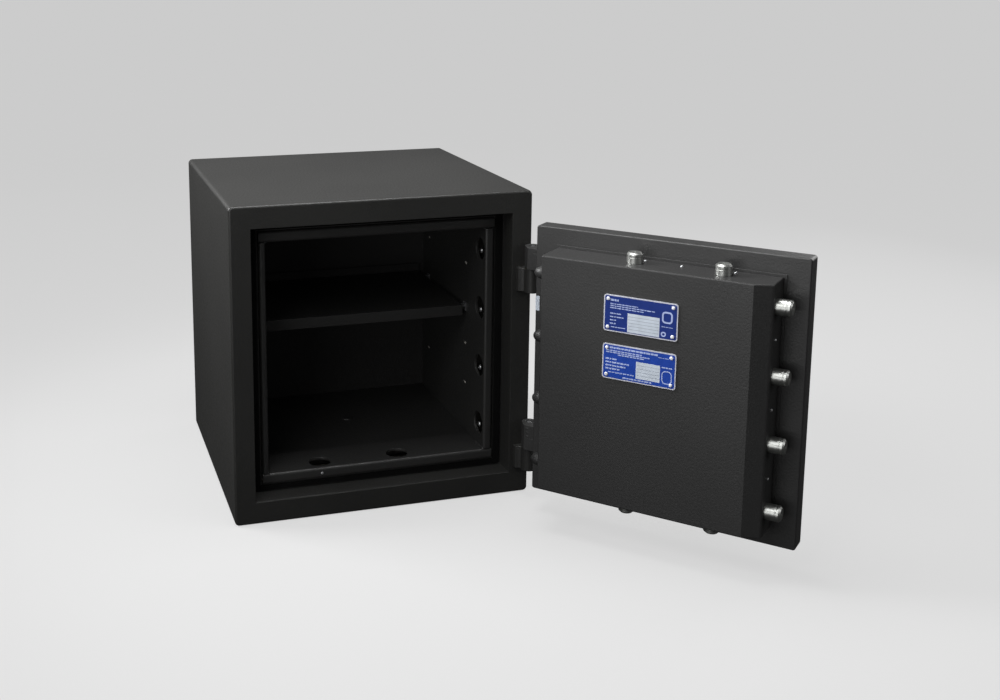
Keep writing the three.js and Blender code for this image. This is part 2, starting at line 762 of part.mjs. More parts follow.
function handleRose() {
  const ring = [
    [HANDLE.holeRadius, -4],
    [24, -4],
    [26, -2],
    [26, 0],
    [HANDLE.holeRadius, 0],
    [HANDLE.holeRadius, -4],
  ];
  return turned(ring, [HANDLE.x, -GAP, HANDLE.z], ALONG_Y, 28);
}

function handleLever() {
  const { x, z, length, spindleRadius } = HANDLE;
  const hub = turned(
    [
      [0, -38],
      [11, -38],
      [14, -35],
      [14, -5],
      [0, -5],
    ],
    [x, 0, z],
    ALONG_Y,
    24,
  );
  const outline = roundedRectangle(z - 8, z + 8, x - 8, x + length, 7.9);
  const arm = prismInward(outline, -35, -21, { bevel: 3, curveSegments: 6 });
  return cut(join(hub, arm), rod(spindleRadius + GAP, 20, [x, -20 - GAP, z], ALONG_Y, 16));
}

place(shutDoor, "handle_lever", handleLever(), BRIGHT_STEEL);
place(shutDoor, "handle_spindle", handleSpindle(), PLAIN_STEEL);
place(shutDoor, "handle_rose", handleRose(), BLACK_PLASTIC);

// ---- Key lock -----------------------------------------------------------------------

const LOCK_BOLT = { half: 10, low: LOCK.low - 1.8, high: LOCK.low + 38, throw: 10 };
const COVER_PIVOT_Z = LOCK.z + 15;

function lockCase() {
  const [near, far] = LAYER.lockCase;
  const [boltNear, boltFar] = LAYER.lockBolt;
  const { x, halfWidth, low, high } = LOCK;
  const { half, high: boltHigh } = LOCK_BOLT;
  const body = block([x - halfWidth, near, low], [x + halfWidth, far, high]);
  const channel = block(
    [x - half - GAP, boltNear - GAP, low - 1],
    [x + half + GAP, boltFar + GAP, boltHigh + 2],
  );
  return cut(body, channel, keyHole(near - 1, far - 4));
}

function lockBolt() {
  const [near, far] = LAYER.lockBolt;
  const { half, low, high } = LOCK_BOLT;
  const bar = block([LOCK.x - half, near, low], [LOCK.x + half, far, high]);
  return cut(bar, block([LOCK.x - 7, near - 1, high - 12], [LOCK.x + 7, far + 1, high + 1]));
}

function keyEscutcheon() {
  const near = -3 - GAP;
  const disc = turned(
    [
      [0, 0],
      [20, 0],
      [21, 1],
      [21, 3],
      [0, 3],
    ],
    [LOCK.x, near, LOCK.z + 3],
    ALONG_Y,
    28,
  );
  const barrel = rod(3.2, 6, [LOCK.x, near - 1, LOCK.z + 2], ALONG_Y, 12);
  const bit = block([LOCK.x - 1.4, near - 1, LOCK.z - 8], [LOCK.x + 1.4, 1, LOCK.z + 2]);
  return cut(disc, barrel, bit, rod(1.8, 6, [LOCK.x, near - 1, COVER_PIVOT_Z], ALONG_Y, 12));
}

function keyCover() {
  const near = -5.8;
  const far = -3.6;
  const shape = new THREE.Shape();
  const lower = 10.5;
  const upper = 6;
  shape.absarc(LOCK.z - 2, LOCK.x, lower, Math.PI / 2, Math.PI * 1.5);
  shape.absarc(COVER_PIVOT_Z, LOCK.x, upper, -Math.PI / 2, Math.PI / 2);
  shape.holes.push(new THREE.Path().absarc(COVER_PIVOT_Z, LOCK.x, 2.1, 0, 2 * Math.PI));
  return prismInward(shape, near, far, { curveSegments: 10 });
}

function keyCoverPivot() {
  const profile = [
    [0, -7.6],
    [2.6, -7.4],
    [3.6, -6.2],
    [1.5, -6.2],
    [1.5, -1],
    [0, -1],
  ];
  return turned(profile, [LOCK.x, 0, COVER_PIVOT_Z], ALONG_Y, 16);
}

place(shutDoor, "lock_case", lockCase(), PLAIN_STEEL);
place(shutDoor, "lock_bolt", lockBolt(), BRASS);
place(shutDoor, "key_escutcheon", keyEscutcheon(), BLACK_PLASTIC);
place(shutDoor, "key_cover", keyCover(), BLACK_PLASTIC);
place(shutDoor, "key_cover_pivot", keyCoverPivot(), PLAIN_STEEL);

export default safe;
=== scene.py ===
import json
from math import cos, pi, radians, sin

import bmesh
import bpy
from mathutils import Matrix, Vector


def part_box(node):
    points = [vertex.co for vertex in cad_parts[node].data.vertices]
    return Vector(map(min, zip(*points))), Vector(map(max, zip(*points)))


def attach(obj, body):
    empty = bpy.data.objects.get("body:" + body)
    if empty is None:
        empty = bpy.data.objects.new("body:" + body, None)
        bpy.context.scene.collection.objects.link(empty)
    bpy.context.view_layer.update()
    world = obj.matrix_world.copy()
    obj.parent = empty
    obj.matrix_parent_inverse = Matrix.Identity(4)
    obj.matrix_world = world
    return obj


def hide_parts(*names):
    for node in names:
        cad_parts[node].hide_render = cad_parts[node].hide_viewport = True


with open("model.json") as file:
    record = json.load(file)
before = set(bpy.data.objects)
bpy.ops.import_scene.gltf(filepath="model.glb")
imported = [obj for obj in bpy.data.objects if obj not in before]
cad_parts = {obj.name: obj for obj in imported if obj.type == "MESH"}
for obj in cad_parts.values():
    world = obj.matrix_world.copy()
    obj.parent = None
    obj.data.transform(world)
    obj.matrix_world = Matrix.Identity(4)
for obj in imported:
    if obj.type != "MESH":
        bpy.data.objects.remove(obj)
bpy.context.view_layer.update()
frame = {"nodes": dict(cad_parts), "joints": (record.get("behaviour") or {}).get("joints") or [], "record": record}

# The looks of a free-standing document safe that stands with its door open.
# Metres; door pieces are laid out as they lie with the door shut, then swung open.

MM = 0.001
NODES = frame["nodes"]
BODY_OF = {
    node: body
    for body, members in frame["record"]["behaviour"]["bodies"].items()
    for node in members
}

SWING = next(joint for joint in frame["joints"] if joint["name"] == "door_swing")
HINGE_AXIS = Vector(SWING["pos_m"])
OPEN_ANGLE = -radians(SWING["range_deg"][0])
SWUNG_OPEN = (
    Matrix.Translation(HINGE_AXIS)
    @ Matrix.Rotation(OPEN_ANGLE, 4, "Z")
    @ Matrix.Translation(-HINGE_AXIS)
)
SWUNG_SHUT = SWUNG_OPEN.inverted()

ALONG_X = Vector((1, 0, 0))
ALONG_Y = Vector((0, 1, 0))
ALONG_Z = Vector((0, 0, 1))

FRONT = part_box("outer_case")[0].y


def depth(millimetres):
    """The Y of a depth behind the front face of the case."""
    return FRONT + millimetres * MM


def shut_box(node):
    """Lowest and highest corner of a door node as it lies with the door shut."""
    corners = [SWUNG_SHUT @ vertex.co for vertex in NODES[node].data.vertices]
    return Vector(map(min, zip(*corners))), Vector(map(max, zip(*corners)))


PLUG_LOW, PLUG_HIGH = shut_box("plug_cover")
PLATE_FACE = shut_box("door_plate")[1].y

# ---- Camera, light and floor ----------------------------------------------------------

CAMERA_PLACE = Vector((-0.517, -2.030, 0.870))
CAMERA_YAW = radians(-16.32)
CAMERA_PITCH = radians(-10.31)
CAMERA_LENS = 45.5
CAMERA_SHIFT = (0.107, -0.17)
SENSOR_WIDTH = 36

FLOOR_SIZE = 40
FLOOR_DROP = 0.4
FLOOR_GREY = (0.16, 0.16, 0.16, 1)
FLOOR_GLOW = 0.58
WHITE = (1, 1, 1, 1)

# The room's light on things grows from low to high between two heights of the sky.
ROOM_FADE_FROM = -0.25
ROOM_FADE_TO = 0.5
ROOM_LOW = 0.03
ROOM_HIGH = 0.15
ROOM_SEEN = 0.6


def make_camera():
    """A camera that stands level and looks down a little, with its frame shifted."""
    data = bpy.data.cameras.new("camera")
    data.sensor_width = SENSOR_WIDTH
    data.lens = CAMERA_LENS
    data.shift_x, data.shift_y = CAMERA_SHIFT
    camera = bpy.data.objects.new("camera", data)
    camera.matrix_world = (
        Matrix.Translation(CAMERA_PLACE)
        @ Matrix.Rotation(CAMERA_YAW, 4, "Z")
        @ Matrix.Rotation(pi / 2 + CAMERA_PITCH, 4, "X")
    )
    bpy.context.scene.collection.objects.link(camera)
    bpy.context.scene.camera = camera


def soft_light(name, place, aim, size, watts, spread=180):
    """An area light at a place, turned to its aim; its size in metres, spread in degrees."""
    data = bpy.data.lights.new(name, "AREA")
    data.shape = "RECTANGLE"
    data.size, data.size_y = size
    data.energy = watts
    data.spread = radians(spread)
    light = bpy.data.objects.new(name, data)
    light.location = Vector(place)
    light.rotation_mode = "QUATERNION"
    light.rotation_quaternion = (Vector(aim) - light.location).to_track_quat("-Z", "Y")
    light.visible_camera = False
    bpy.context.scene.collection.objects.link(light)


def make_floor():
    """A pale floor that sends no light back up at the object."""
    mesh = bmesh.new()
    bmesh.ops.create_grid(mesh, x_segments=1, y_segments=1, size=FLOOR_SIZE)
    data = bpy.data.meshes.new("floor")
    mesh.to_mesh(data)
    mesh.free()
    floor = bpy.data.objects.new("floor", data)
    floor.location.z = -FLOOR_DROP * MM
    floor.visible_diffuse = False
    floor.visible_glossy = False
    bpy.context.scene.collection.objects.link(floor)
    pale = bpy.data.materials.new("pale_floor")
    pale.use_nodes = True
    shader = pale.node_tree.nodes["Principled BSDF"]
    shader.inputs["Base Color"].default_value = FLOOR_GREY
    shader.inputs["Roughness"].default_value = 0.9
    shader.inputs["Specular IOR Level"].default_value = 0.0
    shader.inputs["Emission Color"].default_value = WHITE
    shader.inputs["Emission Strength"].default_value = FLOOR_GLOW
    data.materials.append(pale)


def make_room():
    """A pale room to look at, whose light on things fades out below the horizon."""
    world = bpy.data.worlds.new("room")
    world.use_nodes = True
    room = world.node_tree
    background = room.nodes["Background"]
    background.inputs["Color"].default_value = WHITE
    place = room.nodes.new("ShaderNodeTexCoord")
    split = room.nodes.new("ShaderNodeSeparateXYZ")
    room.links.new(place.outputs["Generated"], split.inputs["Vector"])
    rise = room.nodes.new("ShaderNodeMapRange")
    rise.inputs["From Min"].default_value = ROOM_FADE_FROM
    rise.inputs["From Max"].default_value = ROOM_FADE_TO
    rise.inputs["To Min"].default_value = ROOM_LOW
    rise.inputs["To Max"].default_value = ROOM_HIGH
    room.links.new(split.outputs["Z"], rise.inputs["Value"])
    room.links.new(rise.outputs["Result"], background.inputs["Strength"])
    seen = room.nodes.new("ShaderNodeBackground")
    seen.inputs["Color"].default_value = WHITE
    seen.inputs["Strength"].default_value = ROOM_SEEN
    path = room.nodes.new("ShaderNodeLightPath")
    choice = room.nodes.new("ShaderNodeMixShader")
    room.links.new(path.outputs["Is Camera Ray"], choice.inputs["Fac"])
    room.links.new(background.outputs["Background"], choice.inputs[1])
    room.links.new(seen.outputs["Background"], choice.inputs[2])
    room.links.new(choice.outputs["Shader"], room.nodes["World Output"].inputs["Surface"])
    bpy.context.scene.world = world


bpy.context.scene.view_settings.view_transform = "Standard"
make_camera()
make_floor()
make_room()
soft_light("window_light", (-0.7, -1.05, 1.35), (0.15, -0.3, 0.48), (0.8, 0.8), 3.2, 115)
soft_light("side_light", (-1.3, 0.45, 1.3), (-0.24, 0.0, 0.72), (0.8, 0.6), 10, 80)
soft_light("left_panel_light", (-1.5, -1.8, 0.45), (0.35, -0.4, 0.25), (1.4, 0.9), 10)
soft_light("ceiling_light", (0.0, -0.3, 1.6), (0.0, -0.2, 0.4), (0.9, 0.6), 16)
soft_light("right_light", (2.3, 0.7, 1.0), (0.2, 0.0, 0.35), (1.6, 1.2), 8, 110)
soft_light("edge_light", (1.7, -1.5, 0.9), (0.45, -0.55, 0.25), (0.7, 0.9), 0.5, 60)
soft_light("back_light", (-0.4, 2.6, 1.3), (0.0, 0.0, 0.45), (3.6, 1.0), 2.0)

# ---- Materials ------------------------------------------------------------------------


# The share of a noise that holds most of its values.
NOISE_LOW = 0.3
NOISE_HIGH = 0.7

# Noise scales and bump depths of the powder coat.
COAT_CLOUDS = 5.0
COAT_COARSE = 340.0
COAT_FINE = 900.0
COAT_BUMP = 0.3

STEEL_COLOR = (0.5, 0.51, 0.49)
STEEL_ROUGHNESS = 0.36


class Finish:
    """A material's node tree, with short calls for the nodes that the finishes share."""

    def __init__(self, name, slot):
        self.material = bpy.data.materials.new(name)
        self.material.use_nodes = True
        self.tree = self.material.node_tree
        self.shader = self.tree.nodes["Principled BSDF"]
        self.place = self.tree.nodes.new("ShaderNodeTexCoord").outputs["Object"]

    def node(self, kind):
        return self.tree.nodes.new(kind)

    def set(self, **sockets):
        for name, value in sockets.items():
            self.shader.inputs[name.replace("_", " ")].default_value = value

    def noise(self, scale, detail=2.0, roughness=0.5, vector=None):
        made = self.node("ShaderNodeTexNoise")
        made.inputs["Scale"].default_value = scale
        made.inputs["Detail"].default_value = detail
        made.inputs["Roughness"].default_value = roughness
        self.tree.links.new(vector or self.place, made.inputs["Vector"])
        return made.outputs["Fac"]

    def stretched(self, turn, scale):
        """Coordinates turned about Z and then scaled, for a drawn or turned surface."""
        made = self.node("ShaderNodeMapping")
        made.inputs["Rotation"].default_value = (0, 0, turn)
        made.inputs["Scale"].default_value = scale
        self.tree.links.new(self.place, made.inputs["Vector"])
        return made.outputs["Vector"]

    def ramp(self, fac, stops):
        made = self.node("ShaderNodeValToRGB")
        for element, (position, color) in zip(made.color_ramp.elements, stops):
            element.position = position
            element.color = (*color, 1)
        self.tree.links.new(fac, made.inputs["Fac"])
        return made.outputs["Color"]

    def spread(self, fac, low, high):
        """The main values of a noise spread out to the range from low to high."""
        made = self.node("ShaderNodeMapRange")
        made.inputs["From Min"].default_value = NOISE_LOW
        made.inputs["From Max"].default_value = NOISE_HIGH
        made.inputs["To Min"].default_value = low
        made.inputs["To Max"].default_value = high
        self.tree.links.new(fac, made.inputs["Value"])
        return made.outputs["Result"]

    def bump(self, height, strength, distance, under=None):
        made = self.node("ShaderNodeBump")
        made.inputs["Strength"].default_value = strength
        made.inputs["Distance"].default_value = distance
        self.tree.links.new(height, made.inputs["Height"])
        if under:
            self.tree.links.new(under, made.inputs["Normal"])
        return made.outputs["Normal"]

    def link(self, output, socket):
        self.tree.links.new(output, self.shader.inputs[socket])


def shades(color, low, high):
    """A darker and a lighter shade of a colour, as the two stops of a ramp."""
    return [
        (NOISE_LOW, tuple(low * share for share in color)),
        (NOISE_HIGH, tuple(high * share for share in color)),
    ]


def powder_coat(name, slot, color, roughness, shine=0.5):
    """Matte powder coat: a fine pebbled grain, a few coarser specks and slow tone changes."""
    coat = Finish(name, slot)
    tone = coat.noise(COAT_CLOUDS, 3.0)
    coat.link(coat.ramp(tone, shades(color, 0.9, 1.12)), "Base Color")
    fine = coat.noise(COAT_FINE, 3.0, 0.6)
    coarse = coat.noise(COAT_COARSE, 2.0)
    coat.link(coat.spread(coarse, roughness - 0.06, roughness + 0.06), "Roughness")
    waves = coat.bump(coarse, COAT_BUMP, 0.9 * MM)
    coat.link(coat.bump(fine, COAT_BUMP, 0.2 * MM, waves), "Normal")
    coat.set(Specular_IOR_Level=shine)
    return coat.material


def turned_steel(name, turn, scale):
    """Bright steel with fine turning lines across one axis."""
    steel = Finish(name, "bright_steel")
    lines = steel.noise(1.0, 4.0, 0.6, steel.stretched(turn, scale))
    steel.link(steel.ramp(lines, shades(STEEL_COLOR, 0.86, 1.08)), "Base Color")
    steel.link(
        steel.spread(lines, STEEL_ROUGHNESS - 0.05, STEEL_ROUGHNESS + 0.1), "Roughness"
    )
    steel.link(steel.bump(lines, 0.12, 0.05 * MM), "Normal")
    steel.set(Metallic=1.0)
    return steel.material


def plated(name, slot, color, roughness):
    """Plated steel: cloudy tone, tiny pits."""
    plate = Finish(name, slot)
    clouds = plate.noise(60.0, 5.0, 0.6)
    plate.link(plate.ramp(clouds, shades(color, 0.8, 1.1)), "Base Color")
    plate.link(plate.spread(clouds, roughness - 0.08, roughness + 0.1), "Roughness")
    plate.link(plate.bump(plate.noise(900.0, 3.0), 0.15, 0.1 * MM), "Normal")
    plate.set(Metallic=1.0)
    return plate.material


def cast_mineral(name, slot):
    """Pale cast filling with grit and small pores."""
    cast = Finish(name, slot)
    grit = cast.noise(140.0, 6.0, 0.7)
    cast.link(cast.ramp(grit, shades((0.5, 0.48, 0.44), 0.75, 1.15)), "Base Color")
    cast.link(cast.bump(grit, 0.5, 1.2 * MM), "Normal")
    cast.set(Roughness=0.95)
    return cast.material


def moulded(name, slot, color, roughness, grain_scale, grain, shine=0.5):
    """Moulded plastic or rubber with a fine even grain."""
    part = Finish(name, slot)
    tone = part.noise(30.0, 2.0)
    part.link(part.ramp(tone, shades(color, 0.85, 1.15)), "Base Color")
    fine = part.noise(grain_scale, 2.0)
    part.link(part.spread(fine, roughness - 0.05, roughness + 0.07), "Roughness")
    part.link(part.bump(fine, grain, 0.1 * MM), "Normal")
    part.set(Specular_IOR_Level=shine)
    return part.material


def printed(name, color, roughness, metallic=0.0):
    """A printed or anodised sheet with a faint cloudiness."""
    sheet = Finish(name, "label_print")
    clouds = sheet.noise(90.0, 3.0)
    sheet.link(sheet.ramp(clouds, shades(color, 0.92, 1.08)), "Base Color")
    sheet.link(sheet.spread(clouds, roughness - 0.05, roughness + 0.05), "Roughness")
    sheet.set(Metallic=metallic, Specular_IOR_Level=0.2)
    return sheet.material


# Turning lines are fine along the axis of a bolt and long round it.
LINES_ACROSS = 2600
LINES_ALONG = 60

CASE_PAINT = powder_coat("case_powder_coat", "case_paint", (0.02, 0.02, 0.019), 0.44, 0.45)
INNER_PAINT = powder_coat("inner_powder_coat", "inner_paint", (0.022, 0.022, 0.0215), 0.42)
DOOR_PAINT = powder_coat("door_powder_coat", "door_paint", (0.03, 0.03, 0.03), 0.43)
BARRIER = cast_mineral("cast_mineral", "barrier")
# The seal is black rubber, but this near-black colour is darker than rubber is: it also paints in the shade that
# falls in the recess of the rebate round the seal.
SEAL_RUBBER_AND_SHADE = moulded("seal_rubber_and_painted_shade", "seal_strip", (0.003, 0.003, 0.003), 0.9, 500.0, 0.4, 0.1)
SIDE_STEEL = turned_steel(
    "turned_steel_side", -OPEN_ANGLE, (LINES_ACROSS, LINES_ALONG, LINES_ALONG)
)
END_STEEL = turned_steel("turned_steel_upright", 0, (LINES_ALONG, LINES_ALONG, LINES_ACROSS))
PLAIN_STEEL = plated("zinc_plated_steel", "plain_steel", (0.5, 0.51, 0.52), 0.4)
BRASS = plated("machined_brass", "brass", (0.6, 0.43, 0.18), 0.35)
BLACK_PLASTIC = moulded("black_moulding", "black_plastic", (0.018,) * 3, 0.42, 900.0, 0.2)
LABEL_NAVY = printed("label_navy", (0.013, 0.034, 0.2), 0.4)
LABEL_BLUE = printed("label_blue", (0.015, 0.058, 0.36), 0.4)
LABEL_SILVER = printed("label_silver", (0.62, 0.63, 0.7), 0.4, 0.2)
LABEL_WHITE = printed("label_white", (0.58, 0.64, 0.72), 0.5)
RIVET_WHITE = printed("rivet_white", (0.85, 0.86, 0.9), 0.35)
LABEL_PALE = printed("label_pale_print", (0.42, 0.5, 0.78), 0.4)
LABEL_GREY = printed("label_grey_rules", (0.2, 0.23, 0.3), 0.5)

# ---- Mesh work ------------------------------------------------------------------------

SAME_POINT = 0.01 * MM
SAME_PLANE = radians(0.6)
SHARP_EDGE = radians(50)
FOLD_SEGMENTS = 5


def joined_copy(node):
    """A copy of a CAD node with its loose triangles joined into whole faces."""
    mesh = bmesh.new()
    mesh.from_mesh(NODES[node].data)
    bmesh.ops.remove_doubles(mesh, verts=mesh.verts, dist=SAME_POINT)
    bmesh.ops.dissolve_limit(
        mesh, angle_limit=SAME_PLANE, verts=mesh.verts, edges=mesh.edges
    )
    return mesh


def round_edges(mesh, width, segments=3, chosen=None):
    """Rounds every sharp edge, or only the chosen ones among them."""
    sharp = [
        edge
        for edge in mesh.edges
        if edge.is_manifold
        and edge.calc_face_angle() > SHARP_EDGE
        and (chosen is None or chosen(edge))
    ]
    bmesh.ops.bevel(
        mesh,
        geom=sharp,
        offset=width * MM,
        segments=segments,
        profile=0.5,
        affect="EDGES",
        clamp_overlap=chosen is None,
        material=-1,
    )


def finish(mesh, name, material, body, stands_for=(), crease=48):
    """Makes the mesh a smooth-shaded piece on a body; crease in degrees stays sharp."""
    for edge in mesh.edges:
        edge.smooth = not edge.is_manifold or edge.calc_face_angle() < radians(crease)
    for face in mesh.faces:
        face.smooth = True
    data = bpy.data.meshes.new(name)
    mesh.to_mesh(data)
    mesh.free()
    piece = bpy.data.objects.new(name, data)
    bpy.context.scene.collection.objects.link(piece)
    data.materials.append(material)
    normals = piece.modifiers.new("flat_faces", "WEIGHTED_NORMAL")
    normals.keep_sharp = True
    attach(piece, body)
    if stands_for:
        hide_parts(*stands_for)
    return piece


def rounded(node, width, material, fold_width=0, fold=None, crease=48):
    """A CAD node again, with its edges rounded, and its folds more than the rest.

    The widths are in millimetres; a width of 0 leaves the other edges as they are.
    """
    mesh = joined_copy(node)
    if fold:
        round_edges(mesh, fold_width, FOLD_SEGMENTS, fold)
    if width:
        round_edges(mesh, width)
    return finish(mesh, f"{node}_skin", material, BODY_OF[node], [node], crease)


def turned(profile, steps=48):
    """A body turned about Z from points given as radius and height in millimetres."""
    mesh = bmesh.new()
    points = [mesh.verts.new((radius * MM, 0, height * MM)) for radius, height in profile]
    edges = [mesh.edges.new(pair) for pair in zip(points, points[1:])]
    bmesh.ops.spin(
        mesh,
        geom=points + edges,
        cent=(0, 0, 0),
        axis=(0, 0, 1),
        angle=2 * pi,
        steps=steps,
        use_merge=True,
    )
    bmesh.ops.remove_doubles(mesh, verts=mesh.verts, dist=0.001 * MM)
    bmesh.ops.recalc_face_normals(mesh, faces=mesh.faces)
    return mesh


def aim(mesh, place, direction, on_door=False):
    """Turns a body made along +Z to a direction and puts its foot at a place."""
    turn = ALONG_Z.rotation_difference(direction).to_matrix().to_4x4()
    matrix = Matrix.Translation(place) @ turn
    mesh.transform(SWUNG_OPEN @ matrix if on_door else matrix)
    return mesh


def slab(low, high):
    """A plain block between two corners, ready for its edges to be rounded."""
    mesh = bmesh.new()
    bmesh.ops.create_cube(mesh, size=1)
    low, high = Vector(low), Vector(high)
    size = high - low
    bmesh.ops.scale(mesh, vec=size, verts=mesh.verts)
    bmesh.ops.translate(mesh, vec=(low + high) / 2, verts=mesh.verts)
    return mesh


def merged(meshes):
    """Several bodies as one mesh."""
    whole = bmesh.new()
    scratch = bpy.data.meshes.new("scratch")
    for mesh in meshes:
        mesh.to_mesh(scratch)
        mesh.free()
        whole.from_mesh(scratch)
    bpy.data.meshes.remove(scratch)
    return whole


# ---- Nodes redrawn with rounded edges, and nodes left as they are ---------------------

# Node, rounding in millimetres and material.
ROUNDED_NODES = [
    ("outer_case", 2.4, CASE_PAINT),
    ("back_panel", 1.0, CASE_PAINT),
    ("inner_liner", 0.8, INNER_PAINT),
    ("door_frame", 1.0, CASE_PAINT),
    ("fire_seal", 0.8, SEAL_RUBBER_AND_SHADE),
    ("anchor_cap", 0.5, BLACK_PLASTIC),
    ("shelf", 0.8, INNER_PAINT),
    ("hinge_upper_body_leaf", 0.5, CASE_PAINT),
    ("hinge_lower_body_leaf", 0.5, CASE_PAINT),
    ("hinge_upper_door_leaf", 0.5, DOOR_PAINT),
    ("hinge_lower_door_leaf", 0.5, DOOR_PAINT),
    ("handle_lever", 1.5, END_STEEL),
    ("handle_rose", 0.6, BLACK_PLASTIC),
    ("key_escutcheon", 0.5, BLACK_PLASTIC),
    ("key_cover", 0.5, BLACK_PLASTIC),
    ("key_cover_pivot", 0.3, PLAIN_STEEL),
]
ROUNDED_NODES += [
    (f"shelf_clip_{where}_{side}", 0.4, PLAIN_STEEL)
    for where in ("front", "rear")
    for side in ("left", "right")
]
for node, width, material in ROUNDED_NODES:
    rounded(node, width, material)


LONG_FOLD = 100
FRAME_STEP = 36
PLUG_FACE_BAND = 76


def outer_fold(edge):
    """A long fold that stands out, not the inside of a corner."""
    return edge.calc_length() > LONG_FOLD * MM and edge.is_convex


def front_fold(edge):
    """A long outer fold along the front of the inner frame."""
    front = depth(FRAME_STEP)
    return outer_fold(edge) and all(vertex.co.y < front for vertex in edge.verts)


def plug_fold(edge):
    """A fold on the side of the plug's cover that faces the compartment."""
    shallow = depth(PLUG_FACE_BAND)
    ends = [SWUNG_SHUT @ end.co for end in edge.verts]
    on_side = any(
        abs(end[axis] - limit[axis]) < 0.1 * MM
        for end in ends
        for axis in (0, 2)
        for limit in (PLUG_LOW, PLUG_HIGH)
    )
    return edge.is_convex and on_side and all(end.y > shallow for end in ends)


for node in ("frame_head", "frame_sill", "frame_jamb_left", "frame_jamb_right"):
    rounded(node, 0.6, INNER_PAINT, 4.5, front_fold)
rounded("door_plate", 0.8, DOOR_PAINT, 4.0, outer_fold)
rounded("plug_cover", 0, DOOR_PAINT, 3.0, plug_fold, crease=20)

KEPT_NODES = {
    "barrier_fill": BARRIER,
    "door_fill": BARRIER,
    "anchor_sleeve": PLAIN_STEEL,
    "hinge_upper_pin": PLAIN_STEEL,
    "hinge_lower_pin": PLAIN_STEEL,
    "hinge_upper_washer": BRASS,
    "hinge_lower_washer": BRASS,
    "hard_plate": PLAIN_STEEL,
    "mounting_plate": PLAIN_STEEL,
    "lock_case": PLAIN_STEEL,
    "lock_bolt": BRASS,
    "handle_spindle": PLAIN_STEEL,
    "drive_cam": PLAIN_STEEL,
    "side_bar": PLAIN_STEEL,
    "top_bar": PLAIN_STEEL,
    "bottom_bar": PLAIN_STEEL,
}
for node, material in KEPT_NODES.items():
    NODES[node].data.materials.clear()
    NODES[node].data.materials.append(material)


# ---- Bolts and fixed pins -------------------------------------------------------------


def bolt(node, direction, material):
    """A turned throw bolt with a groove, a chamfered nose and a centre mark."""
    low, high = shut_box(node)
    middle = (low + high) / 2
    length = abs((high - low).dot(direction)) / MM
    across = min(high - low) / 2 / MM
    groove, chamfer, centre = 0.4, 2.5, 1.6
    profile = [
        (0, 0),
        (across, 0),
        (across, length - 7.6),
        (across - groove, length - 7.2),
        (across - groove, length - 6.2),
        (across, length - 5.8),
        (across, length - chamfer),
        (across - chamfer, length),
        (centre, length),
        (0, length - 1.2),
    ]
    foot = middle - direction * length * MM / 2
    mesh = aim(turned(profile, 56), foot, direction, on_door=True)
    finish(mesh, f"{node}_turned", material, BODY_OF[node], [node], crease=30)


def dog_pin(node):
    """A fixed pin on the hinge side with a long rounded nose."""
    low, high = shut_box(node)
    radius = (high.z - low.z) / 2 / MM
    length = (high.x - low.x) / MM
    nose = 14
    steps = 10
    profile = [(0, 0), (radius, 0)]
    for step in range(steps):
        around = step / steps * pi / 2
        profile.append((radius * cos(around), length - nose * (1 - sin(around))))
    profile.append((0, length))
    foot = Vector((low.x, (low.y + high.y) / 2, (low.z + high.z) / 2))
    mesh = aim(turned(profile, 40), foot, ALONG_X, on_door=True)
    finish(mesh, f"{node}_turned", DOOR_PAINT, "door", [node])


for number in range(1, 5):
    bolt(f"side_bolt_{number}", -ALONG_X, SIDE_STEEL)
    dog_pin(f"dog_pin_{number}")
for number in (1, 2):
    bolt(f"top_bolt_{number}", ALONG_Z, END_STEEL)
    bolt(f"bottom_bolt_{number}", -ALONG_Z, END_STEEL)

# ---- Small round parts ----------------------------------------------------------------


def screw_head(radius, height):
    """A raised round head with a shallow round dip in its middle, made along +Z."""
    profile = [
        (0, -0.4),
        (radius, -0.4),
        (radius, height * 0.25),
        (radius * 0.86, height * 0.72),
        (radius * 0.55, height),
        (radius * 0.3, height),
        (0, height * 0.35),
    ]
    return turned(profile, 20)


def rivet_head(radius, height):
    """A domed rivet head with a small pin mark in its middle, made along +Z."""
    steps = 5
    profile = [(0, -0.2), (radius, -0.2), (radius, height * 0.2)]
    for step in range(1, steps):
        around = step / steps * pi / 2
        profile.append((radius * cos(around), height * (0.2 + 0.8 * sin(around))))
    profile += [(radius * 0.25, height), (0, height * 0.6)]
    return turned(profile, 28)


def door_point(x, back, z):
    """A place on the shut door, from millimetres across, behind the front and up."""
    return Vector((x * MM, depth(back), z * MM))


# Screws in the plug's lock side by height, and in its top by place across and depth.
SIDE_SCREW_DEPTH = 60
SIDE_SCREW_HEIGHTS = (150, 250, 350)
TOP_SCREWS = ((26, 42), (-105, 42), (-29, 46))
SCREW_RISE = 1.6
screws = []
for z in SIDE_SCREW_HEIGHTS:
    place = Vector((PLUG_LOW.x, depth(SIDE_SCREW_DEPTH), z * MM))
    screws.append(aim(screw_head(2.4, SCREW_RISE), place, -ALONG_X, on_door=True))
for x, back in TOP_SCREWS:
    place = Vector((x * MM, depth(back), PLUG_HIGH.z))
    screws.append(aim(screw_head(2.6, SCREW_RISE), place, ALONG_Z, on_door=True))
finish(merged(screws), "plug_screws", PLAIN_STEEL, "door")

# ---- Rating plates --------------------------------------------------------------------

PRINT_STEP = 0.14
RULE_STEP = 0.05
RULE_HALF = 0.2
PLATE_RIM = 1.7
PLATE_CORNER = 4.0
FIELD_CORNER = 2.6
RIVET_RADIUS = 2.7
RIVET_RISE = 1.5
BAR_LENGTHS = (5.2, 3.1, 6.4, 4.0)
BAR_GAP = 0.9
SHORTEST_BAR = 1.5


